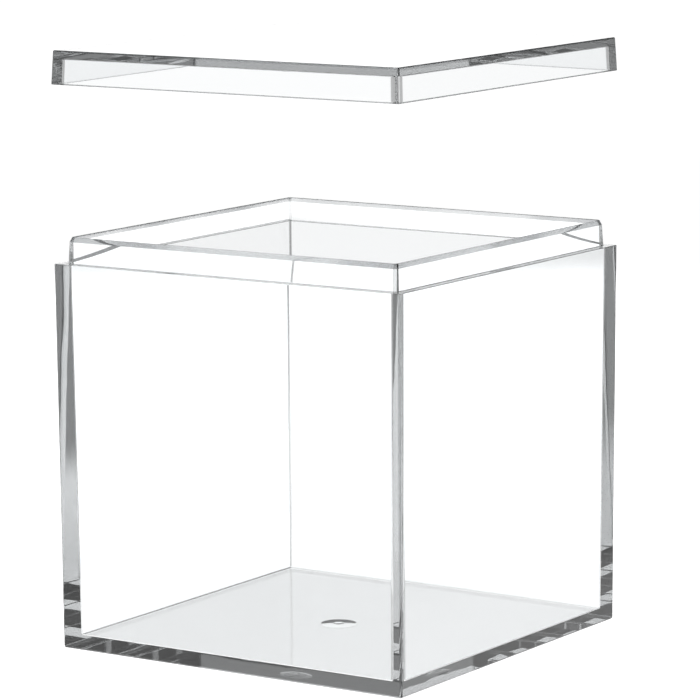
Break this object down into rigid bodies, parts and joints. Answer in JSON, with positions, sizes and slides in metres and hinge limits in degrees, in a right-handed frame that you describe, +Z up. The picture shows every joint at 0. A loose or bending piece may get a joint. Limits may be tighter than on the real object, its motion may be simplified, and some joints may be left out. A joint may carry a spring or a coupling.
{
  "type": "clear display box with lift-off lid",
  "caption": "Clear moulded plastic display box: a square, open-topped tub with a thinner neck inside a flat shoulder, and a flat skirted lid that lifts straight off.",
  "frame": {"origin": "middle of the box's underside, on the surface that it stands on", "axes": "+Z up through the middle of the open top, +X and +Y square to the walls"},
  "size_m": [0.1, 0.1, 0.1472],
  "materials": {
    "clear_plastic": "clear moulded acrylic, gloss, with faint flow marks"
  },
  "bodies": {
    "box": {"box_body": "clear_plastic"},
    "lid": {"lid": "clear_plastic"}
  },
  "joints": [
    {"name": "lid_lift", "type": "slide", "parent": "box", "child": "lid", "axis": [0, 0, 1], "range_m": [-0.0433, 0]}
  ]
}
